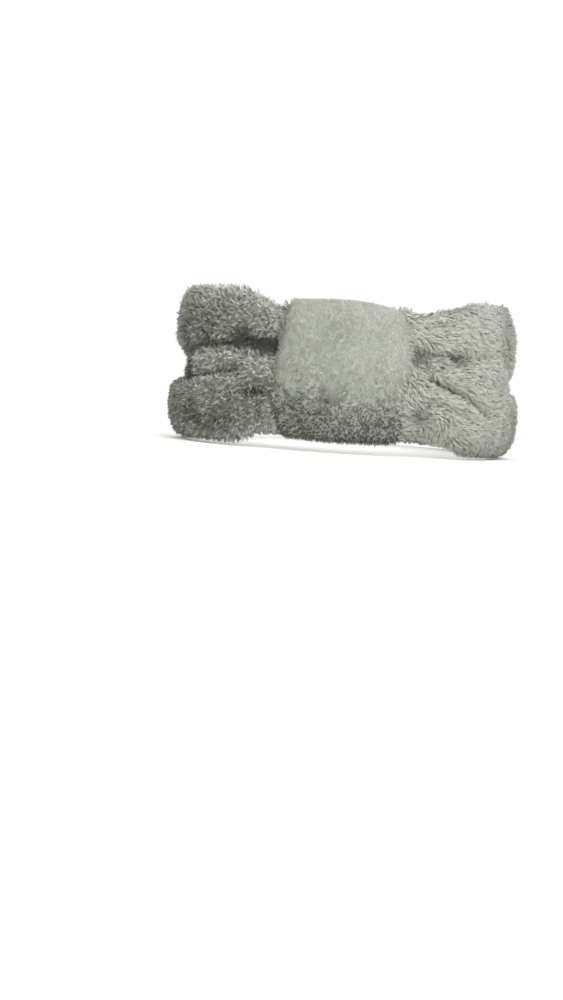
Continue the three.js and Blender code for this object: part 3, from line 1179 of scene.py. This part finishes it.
    def face_cover(self, at: Places) -> Field:
        """Covers the face with pile, hardly any where the wrap hides it, and fewer clumps on the left.

        Args:
            at: a number of places on it.

        Returns:
            How thickly the pile grows there, from 0 to 1.
        """
        degrees = self.degrees(at.along)
        hidden = self.wrap_angle + self.by_side(degrees, (0.0, -2.5))
        crowded = self.by_side(degrees, (0.72, 1.0))
        return mix(0.02, crowded, smooth(np.abs(degrees), hidden - 2, hidden + 0.5))

    def lining_nap(self, at: Places) -> Nap:
        """Lays the lining's pile, pressed short by the head.

        Args:
            at: a number of places on it.

        Returns:
            How the pile lies there.
        """
        patch = Ripples(31, 13.0).at(at.points)
        ones = np.ones(len(at.along))
        ruffle = np.clip(0.35 + 0.25 * patch, 0, 1)
        lean = np.clip(0.55 - 0.1 * patch, 0, 1)
        return Nap(2.4 * ones, lean, 20 + 50 * patch, ruffle, 0.25 * ones, 1.0 + 0.04 * patch)

    def build(self) -> list[bpy.types.Object]:
        """Builds and dresses both panels.

        Returns:
            Every piece made.
        """
        ground = KnitGround("plush_ground_front").material()
        pile = PlushPile("plush_pile_front").material()
        face = Cloth("front_face", (280, 104), False, self.face_place, self.core(2.0))
        lining = Cloth("front_lining", (200, 40), False, self.lining_place, self.core(8.0))
        face_ground = face.mesh(ground, lambda at: self.face_nap(at).tone)
        lining_ground = lining.mesh(ground, lambda at: self.lining_nap(at).tone)
        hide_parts("front_face_panel")
        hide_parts("front_lining_panel")
        curls = Pile(
            face,
            self.face_nap,
            self.face_cover,
            clumps_per_mm2=0.9,
            strands=4,
            width=0.29,
            spread=0.6,
            tuft=Tuft.CURLED,
            seed=101,
            blotch=0.4,
        )
        short = Pile(
            lining,
            self.lining_nap,
            all_over,
            clumps_per_mm2=0.5,
            strands=6,
            width=0.32,
            spread=0.8,
            tuft=Tuft.SHORT,
            seed=102,
        )
        face_pile, lining_pile = curls.grow(pile, 6), short.grow(pile, 2)
        made = [face_ground, lining_ground, *face_pile, *lining_pile]
        for piece in made:
            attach(piece, "front")
        return made


@dataclass
class CentreWrap:
    """The plush loop that pinches the middle of the bow.

    Attributes:
        head: the line it is worn round.
        angle: how far it reaches each way, in degrees.
        middle: the height of its middle, in millimetres.
        half_height: half its height.
        inner: its depth behind the band.
        outer: its depth in front of the band.
        taper: the share by which its top and bottom are narrower than its middle.
        left_bulge: the share by which its left side bulges, low down.
        barrel: how much lower its top is at its sides than in its middle, in millimetres.
        right_drop: how much lower still it is at the top on the right.
        pile_room: how much of each size is pile.
        roundness: how square its section is, 2 for an ellipse.
        edge_roll: how far its side edges roll in.
        rolled: the share of each side that rolls in.
        lumpiness: how high its lumps are.
        seam_half_width: half the width of its closing seam, which has no pile.
        lumps: the field of its lumps.
    """

    head: HeadLine
    angle: float
    middle: float
    half_height: float
    inner: float = -4.3
    outer: float = 13.1
    taper: float = 0.1
    left_bulge: float = 0.12
    barrel: float = 0.9
    right_drop: float = 2.6
    pile_room: float = 1.5
    roundness: float = 4.0
    edge_roll: float = 3.0
    rolled: float = 0.12
    lumpiness: float = 0.35
    seam_half_width: float = 2.6
    lumps: Ripples = field(default_factory=lambda: Ripples(41, 14.0))

    def __post_init__(self) -> None:
        """Measures the loop's section, from the middle of its back."""
        self.loop = Section(7.0, self.half_height, self.roundness, -180, 180)

    def place(self, along: Field, across: Field) -> Field:
        """Lays the wrap's ground cloth.

        Args:
            along: shares of the way along it.
            across: shares of the way across it.

        Returns:
            The points, in millimetres.
        """
        out, up = self.loop.at(across)
        from_middle = along * 2 - 1
        turned = np.clip((np.abs(from_middle) - (1 - self.rolled)) / self.rolled, 0, 1)
        roll = self.edge_roll * (1 - np.sqrt(np.maximum(1 - turned**2, 0.0)))
        half_depth = (self.outer - self.inner) / 2 - self.pile_room - roll
        drop = self.barrel + self.right_drop * (from_middle > 0) * smooth(up, -0.3, 0.6)
        half = self.half_height - self.pile_room - drop * from_middle**2 - 0.15 * roll
        bulge = np.where(from_middle < 0, self.left_bulge, 0.0) * np.exp(-(((up + 0.35) / 0.5) ** 2))
        degrees = self.angle * from_middle * (1 - self.taper * up**2 + bulge)
        depth = (self.outer + self.inner) / 2 + half_depth * out
        flat = self.head.worn(degrees, depth, self.middle + half * up)
        depth = depth + self.lumpiness * self.lumps.at(flat) * np.maximum(out, 0)
        return self.head.worn(degrees, depth, self.middle + half * up)

    def core(self, along: Field, across: Field) -> Field:
        """Points inside the loop."""
        return self.head.worn(self.angle * (along * 2 - 1), (self.outer + self.inner) / 2, self.middle)

    def nap(self, at: Places) -> Nap:
        """Lays short even pile, combed up over the top and ruffled along the lower third, which is painted
        darker as shade.

        Args:
            at: a number of places on it.

        Returns:
            How the pile lies there.
        """
        height = (at.points[:, 2] - self.middle) / self.half_height
        aside = at.points[:, 0] - self.head.centre[0]
        patch, cloud = Ripples(51, 12.0).at(at.points), Ripples(52, 26.0).at(at.points)
        grain = Ripples(53, 2.4).at(at.points)
        low = smooth(-height + 0.05 * patch + 0.14 * grain, 0.08, 0.68)
        rim = smooth(np.abs(at.along * 2 - 1), 0.8, 1.0)
        ruffle = np.clip(0.26 + 0.68 * low + 0.1 * patch, 0, 1)
        lean = np.clip(mix(mix(0.6, 0.25, low), 0.2, rim) - 0.06 * patch, 0.05, 0.9)
        heading = mix(94.0, 80.0, low) + 14 * patch

        # A spot above the middle is painted darker, as painted shade where the nap would seem turned; its
        # strands lean as elsewhere.
        painted_nap_shade = np.exp(-(((aside + 4) / 9) ** 2) - ((height - 0.42) / 0.3) ** 2)
        fringe = smooth(-height, 0.86, 0.97)
        # The lower edge is painted lighter, as a painted highlight, and the lower part darker, as painted
        # shade.
        tone = (1 - 0.13 * painted_nap_shade) * (1 + 0.5 * fringe) * mix(0.69, 0.3, low)
        tone = tone * (1 + 0.03 * patch + 0.05 * cloud) * (1 - 0.14 * smooth(-height, -0.25, 0.2))
        return Nap(mix(1.7, 2.1, low), lean, heading, ruffle, mix(0.1, 0.6, low), tone)

    def cover(self, at: Places) -> Field:
        """Covers the wrap with pile, thinner behind and parted along its closing seam.

        Args:
            at: a number of places on it.

        Returns:
            How thickly the pile grows there, from 0 to 1.
        """
        out, _ = self.loop.at(at.across)
        seam = (out < -0.9) & (np.abs(at.points[:, 0] - self.head.centre[0]) < self.seam_half_width)
        return np.where(seam, 0.04, mix(0.4, 1.0, smooth(out, -0.6, 0.0)))

    def build(self) -> list[bpy.types.Object]:
        """Builds and dresses the wrap.

        Returns:
            Every piece made.
        """
        cloth = Cloth("centre_wrap_cloth", (70, 150), True, self.place, self.core)
        knit = KnitGround("plush_ground_wrap", colour=0xA0A398, shadow=0x9C9F94)
        ground = cloth.mesh(knit.material(), all_over)
        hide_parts("centre_wrap")
        pile = Pile(
            cloth,
            self.nap,
            self.cover,
            clumps_per_mm2=2.5,
            strands=3,
            width=0.3,
            spread=0.34,
            tuft=Tuft.SHORT,
            seed=103,
            stray=0.13,
            softness=0.86,
            blotch=0.44,
        )
        short = PlushPile("plush_pile_wrap", root=0x7E8078, middle=0xBEC1B5, tip=0xD3D6CA)
        grown = pile.grow(short.material(), 2)
        for piece in [ground, *grown]:
            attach(piece, "front")
        return [ground, *grown]


@dataclass
class RearSleeve:
    """The gathered sleeve at the back, with the elastic in it.

    Attributes:
        head: the line it is worn round.
        start: the angle where it meets the front band.
        height: its height, in millimetres.
        depth: how far out it reaches.
        join_y: where the stretch starts, in metres. It is not used.
        back_y: where it ends, in metres. It is not used.
        gathers: how many gathers it has.
        gather_depth: how deep they are, in millimetres.
        pile_room: how much of each size is pile.
        roundness: how square its section is, 2 for an ellipse.
        wander: the field that makes its gathers crooked.
    """

    head: HeadLine
    start: float
    height: float
    depth: float
    join_y: float
    back_y: float
    gathers: float = 21.0
    gather_depth: float = 1.6
    pile_room: float = 2.2
    roundness: float = 3.2
    wander: Ripples = field(default_factory=lambda: Ripples(61, 26.0))

    def __post_init__(self) -> None:
        """Measures the sleeve's section, from the middle of its inner side."""
        self.loop = Section(4.0, self.height / 2, self.roundness, -180, 180)

    def degrees(self, along: Field) -> Field:
        """The angle of a share along the sleeve."""
        return mix(self.start, 360 - self.start, along)

    def place(self, along: Field, across: Field) -> Field:
        """Lays the sleeve's ground cloth, in gathers that die away at its sewn ends.

        Args:
            along: shares of the way along it.
            across: shares of the way across it.

        Returns:
            The points, in millimetres.
        """
        out, up = self.loop.at(across)
        degrees = self.degrees(along)
        half = self.height / 2 - self.pile_room
        flat = self.head.worn(degrees, self.depth / 2 + 3 * out, self.height / 2 + half * up)
        phase = along * self.gathers * 2 * math.pi + 1.6 * self.wander.at(flat) + 0.5 * up
        ends = smooth(np.minimum(along, 1 - along), 0.0, 0.03)
        wave = (np.cos(phase) - 0.25) * self.gather_depth * mix(0.3, 1.0, ends)
        strength = mix(0.3, 1.0, smooth(out, -0.5, 0.5))
        half_depth = self.depth / 2 - self.pile_room * 0.8
        depth = self.depth / 2 + (half_depth + wave * strength) * out
        height = self.height / 2 + (half + 0.4 * wave * (up > 0)) * up
        return self.head.worn(degrees, depth, height)

    def core(self, along: Field, across: Field) -> Field:
        """Points inside the sleeve."""
        return self.head.worn(self.degrees(along), self.depth / 2, self.height / 2)

    def nap(self, at: Places) -> Nap:
        """Lays pile that leans every way between the gathers, and is shorter against the head.

        Args:
            at: a number of places on it.

        Returns:
            How the pile lies there.
        """
        out, _ = self.loop.at(at.across)
        patch = Ripples(71, 12.0).at(at.points)
        outer = smooth(out, -0.4, 0.4)
        ruffle = np.clip(0.5 + 0.25 * patch, 0, 1)
        ones = np.ones(len(at.along))
        end = 1 - smooth(np.minimum(at.along, 1 - at.along), 0.03, 0.1)
        heading = mix(15 + 60 * patch, np.where(at.along < 0.5, 180.0, 0.0), end)
        lean = mix(0.45 - 0.12 * patch, 0.62, end)
        return Nap(mix(2.2, 3.0, outer), lean, heading, ruffle, 0.35 * ones, 0.96 + 0.04 * patch)

    def build(self) -> list[bpy.types.Object]:
        """Builds and dresses the sleeve.

        Returns:
            Every piece made.
        """
        cloth = Cloth("rear_sleeve_cloth", (240, 64), True, self.place, self.core, thickness=0.8)
        ground = cloth.mesh(KnitGround("plush_ground_sleeve").material(), lambda at: self.nap(at).tone)
        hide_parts("rear_sleeve")
        pile = Pile(
            cloth,
            self.nap,
            all_over,
            clumps_per_mm2=0.48,
            strands=7,
            width=0.32,
            spread=0.85,
            tuft=Tuft.SHORT,
            seed=104,
        )
        grown = pile.grow(PlushPile("plush_pile_sleeve").material(), 2)
        for piece in [ground, *grown]:
            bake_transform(piece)
        return [ground, *grown]


@dataclass
class Trim:
    """The threads, the elastic and the label.

    Attributes:
        join_y: where the back starts to stretch, in metres. It is not used.
        back_y: where it has its full travel, in metres. It is not used.
        long_edge: the length past which an edge of the elastic or the sleeve seam is halved, in metres.
    """

    join_y: float
    back_y: float
    long_edge: float = 0.006

    def build(self, nodes: dict[str, bpy.types.Object]) -> list[bpy.types.Object]:
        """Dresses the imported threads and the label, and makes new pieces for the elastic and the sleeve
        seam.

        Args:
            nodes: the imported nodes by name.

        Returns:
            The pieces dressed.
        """
        thread = SpunThread("spun_thread").material()
        made = []
        for name in (
            "top_edge_seam",
            "bottom_edge_seam",
            "wrap_closing_stitch",
            "join_seam_left",
            "join_seam_right",
            "elastic_tack_left",
            "elastic_tack_right",
        ):
            made.append(self.dress(nodes[name], thread))
        made.append(self.dress(nodes["care_label"], WovenSatin("satin_label").material()))
        elastic = self.stretching(nodes["rear_elastic"], "elastic_band")
        seam = self.stretching(nodes["sleeve_seam"], "sleeve_seam_thread")
        made.append(self.dress(elastic, WovenRibs("woven_elastic").material()))
        made.append(self.dress(seam, thread))
        return made

    @staticmethod
    def dress(piece: bpy.types.Object, finish: bpy.types.Material) -> bpy.types.Object:
        """Gives a piece its finish.

        Args:
            piece: the piece.
            finish: its material.

        Returns:
            The piece.
        """
        piece.data.materials.clear()
        piece.data.materials.append(finish)
        return piece

    def stretching(self, node: bpy.types.Object, name: str) -> bpy.types.Object:
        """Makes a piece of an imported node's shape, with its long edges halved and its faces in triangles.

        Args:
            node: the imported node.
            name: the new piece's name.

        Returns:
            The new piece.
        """
        bm = bmesh.new()
        bm.from_mesh(node.data)
        bmesh.ops.remove_doubles(bm, verts=bm.verts, dist=1e-6)
        long_edges = [edge for edge in bm.edges if edge.calc_length() > self.long_edge]
        bmesh.ops.subdivide_edges(bm, edges=long_edges, cuts=1)
        bmesh.ops.triangulate(bm, faces=bm.faces)
        mesh = bpy.data.meshes.new(name)
        bm.to_mesh(mesh)
        bm.free()
        piece = bpy.data.objects.new(name, mesh)
        bpy.context.collection.objects.link(piece)
        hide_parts(node.name)
        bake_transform(piece)
        return piece


@dataclass
class Studio:
    """The camera, the lights and the white paper that the headband stands on.

    Attributes:
        middle: the headband's middle, in metres.
        distance: how far away the camera stands.
        roll: how far it is tipped, in degrees, so that the headband dips to the right.
        seen_height: how much of the subject's plane the picture's height takes in, in metres.
        off_centre: how far right and up of the picture's middle the headband is, in metres at its distance.
    """

    middle: Vector
    distance: float = 1.2
    roll: float = 3.8
    seen_height: float = 0.488
    off_centre: tuple[float, float] = (0.0305, 0.063)

    def camera(self) -> None:
        """Makes the camera, which stands level with the headband's middle."""
        roll = math.radians(self.roll)
        right = Vector((math.cos(roll), 0, math.sin(roll)))
        up = Vector((-math.sin(roll), 0, math.cos(roll)))
        eye = self.middle - Vector((0, self.distance, 0))
        aim = self.middle - right * self.off_centre[0] - up * self.off_centre[1]
        forward = (aim - eye).normalized()
        right = forward.cross(up).normalized()
        up = right.cross(forward)
        data = bpy.data.cameras.new("camera")
        data.sensor_fit = "VERTICAL"
        data.sensor_height = 36.0
        data.lens = data.sensor_height / 2 / (self.seen_height / 2 / self.distance)
        camera = bpy.data.objects.new("camera", data)
        axes = Matrix((right, up, -forward)).transposed().to_4x4()
        camera.matrix_world = Matrix.Translation(eye) @ axes
        bpy.context.collection.objects.link(camera)
        bpy.context.scene.camera = camera

    def lamp(self, name: str, place: tuple[float, float, float], size: float, power_w: float) -> None:
        """Adds a soft square light that faces the headband.

        Args:
            name: the light's name.
            place: where it stands, in metres from the headband's middle.
            size: the length of its side.
            power_w: its power.
        """
        data = bpy.data.lights.new(name, "AREA")
        data.shape, data.size, data.energy = "SQUARE", size, power_w
        light = bpy.data.objects.new(name, data)
        at = self.middle + Vector(place)
        turned = (self.middle - at).to_track_quat("-Z", "Y").to_matrix().to_4x4()
        light.matrix_world = Matrix.Translation(at) @ turned
        bpy.context.collection.objects.link(light)

    def paper(self) -> None:
        """Lays the white paper, which is big enough to reach the horizon."""
        bm = bmesh.new()
        bmesh.ops.create_circle(bm, cap_ends=True, cap_tris=True, segments=96, radius=6.0)
        mesh = bpy.data.meshes.new("studio_paper")
        bm.to_mesh(mesh)
        bm.free()
        mesh.materials.append(StudioPaper("white_paper").material())
        paper = bpy.data.objects.new("studio_paper", mesh)
        bpy.context.collection.objects.link(paper)
        paper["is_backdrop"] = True

    def air(self) -> None:
        """Fills the studio with white light, dimmer from the two sides than from elsewhere."""
        world = bpy.data.worlds.new("studio_air")
        world.use_nodes = True
        nodes, links = world.node_tree.nodes, world.node_tree.links
        way, parts = nodes.new("ShaderNodeTexCoord"), nodes.new("ShaderNodeSeparateXYZ")
        links.new(way.outputs["Generated"], parts.inputs[0])
        aside = nodes.new("ShaderNodeMath")
        aside.operation = "ABSOLUTE"
        links.new(parts.outputs["X"], aside.inputs[0])
        dimmed = nodes.new("ShaderNodeMapRange")
        for name, value in (("From Min", 0.4), ("From Max", 1.0), ("To Min", 1.12), ("To Max", 0.66)):
            dimmed.inputs[name].default_value = value
        links.new(aside.outputs[0], dimmed.inputs["Value"])

        # What stands behind the headband is the studio's white wall, whichever way it is seen.
        wall, seen = nodes.new("ShaderNodeMix"), nodes.new("ShaderNodeLightPath")
        links.new(seen.outputs["Is Camera Ray"], wall.inputs["Factor"])
        links.new(dimmed.outputs[0], wall.inputs["A"])
        wall.inputs["B"].default_value = 1.05
        nodes["Background"].inputs["Color"].default_value = srgb(0xFFFFFF)
        links.new(wall.outputs["Result"], nodes["Background"].inputs["Strength"])
        bpy.context.scene.world = world

    def build(self) -> None:
        """Sets up the whole studio."""
        self.camera()
        self.lamp("key", (0.65, -1.25, 0.95), 1.3, 20.0)
        self.lamp("back", (-0.5, 1.4, 0.9), 1.3, 11.0)
        self.paper()
        self.air()
        bpy.context.scene.view_settings.view_transform = "Standard"


# ------------------------------------------------------------------------------------------ assembly


def main() -> None:
    """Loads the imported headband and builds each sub-assembly round it."""
    logging.basicConfig(level=logging.INFO, format="%(message)s")
    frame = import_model()
    lining, wrap, sleeve = (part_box(n) for n in ("front_lining_panel", "centre_wrap", "rear_sleeve"))
    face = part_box("front_face_panel")
    lining_thickness, sleeve_gap = 4.0, 0.6
    centre_x = (lining[0][0] + lining[1][0]) / 2 / MM
    centre_y = lining[0][1] / MM + HeadLine.half_length + lining_thickness
    head = HeadLine((centre_x, centre_y))

    middle = Vector((0.0, centre_y * MM, face[1][2] / 2))
    Studio(middle).build()
    wrap_angle = head.angle_across((wrap[1][0] - wrap[0][0]) / 2 / MM, CentreWrap.outer)
    sleeve_height = (sleeve[1][2] - sleeve[0][2]) / MM
    band = FrontBand(head, face[1][2] / MM, sleeve_height + 1, wrap_angle)
    wrap_half = (wrap[1][2] - wrap[0][2]) / 2 / MM
    loop = CentreWrap(head, wrap_angle, (wrap[1][2] + wrap[0][2]) / 2 / MM, wrap_half)
    join_y, back_y = sleeve[0][1], sleeve[1][1] - 0.012
    sleeve_start = band.end_angle + sleeve_gap
    back = RearSleeve(head, sleeve_start, sleeve_height, band.end_depth, join_y, back_y)
    for part in (band, loop, back):
        for piece in part.build():
            LOG.info("%s: %s", type(part).__name__, piece.name)
    for piece in Trim(join_y, back_y).build(frame["nodes"]):
        LOG.info("Trim: %s", piece.name)

    drawn = bpy.context.evaluated_depsgraph_get()
    shown = [piece.evaluated_get(drawn).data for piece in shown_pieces()]
    LOG.info("%d pieces, %d corners", len(shown), sum(len(mesh.loops) for mesh in shown))


if __name__ == "__main__":
    main()
